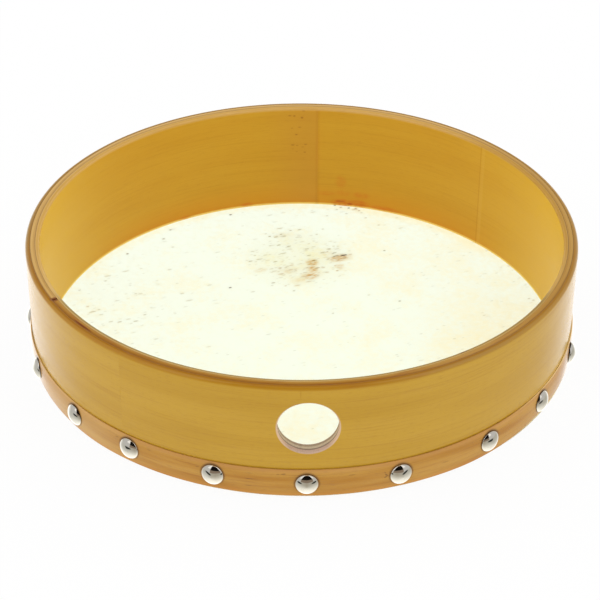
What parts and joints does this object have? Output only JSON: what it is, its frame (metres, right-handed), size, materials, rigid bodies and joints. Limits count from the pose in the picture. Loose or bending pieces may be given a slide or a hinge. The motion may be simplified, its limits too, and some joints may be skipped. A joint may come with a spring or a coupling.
{
  "type": "hand drum",
  "caption": "Round hand drum: a shallow bent-wood shell, open at the back, with a skin head held by a tacked wooden band and a thumb hole in its side.",
  "frame": {"origin": "centre of the head's outer face, which is the lowest face when the drum lies on its head", "axes": "+Z along the drum's axis from the head to the open rim, -Y towards the thumb hole"},
  "size_m": [0.2621, 0.2622, 0.0578],
  "materials": {
    "outer_wood": "clear varnish over amber-stained veneer",
    "core_wood": "bare edge under thin varnish",
    "inner_wood": "satin varnish over amber-stained veneer",
    "skin": "scraped natural skin with brown flecks",
    "band_wood": "satin varnish over straight-grained pinkish wood",
    "nickel": "polished nickel plate"
  },
  "bodies": {
    "root": {"outer_ply": "outer_wood", "core_ply": "core_wood", "inner_ply": "inner_wood", "drum_head": "skin", "retaining_band": "band_wood", "tack_01": "nickel", "tack_02": "nickel", "tack_03": "nickel", "tack_04": "nickel", "tack_05": "nickel", "tack_06": "nickel", "tack_07": "nickel", "tack_08": "nickel", "tack_09": "nickel", "tack_10": "nickel", "tack_11": "nickel", "tack_12": "nickel", "tack_13": "nickel", "tack_14": "nickel", "tack_15": "nickel", "tack_16": "nickel", "tack_17": "nickel", "tack_18": "nickel", "tack_19": "nickel", "tack_20": "nickel"}
  },
  "joints": []
}
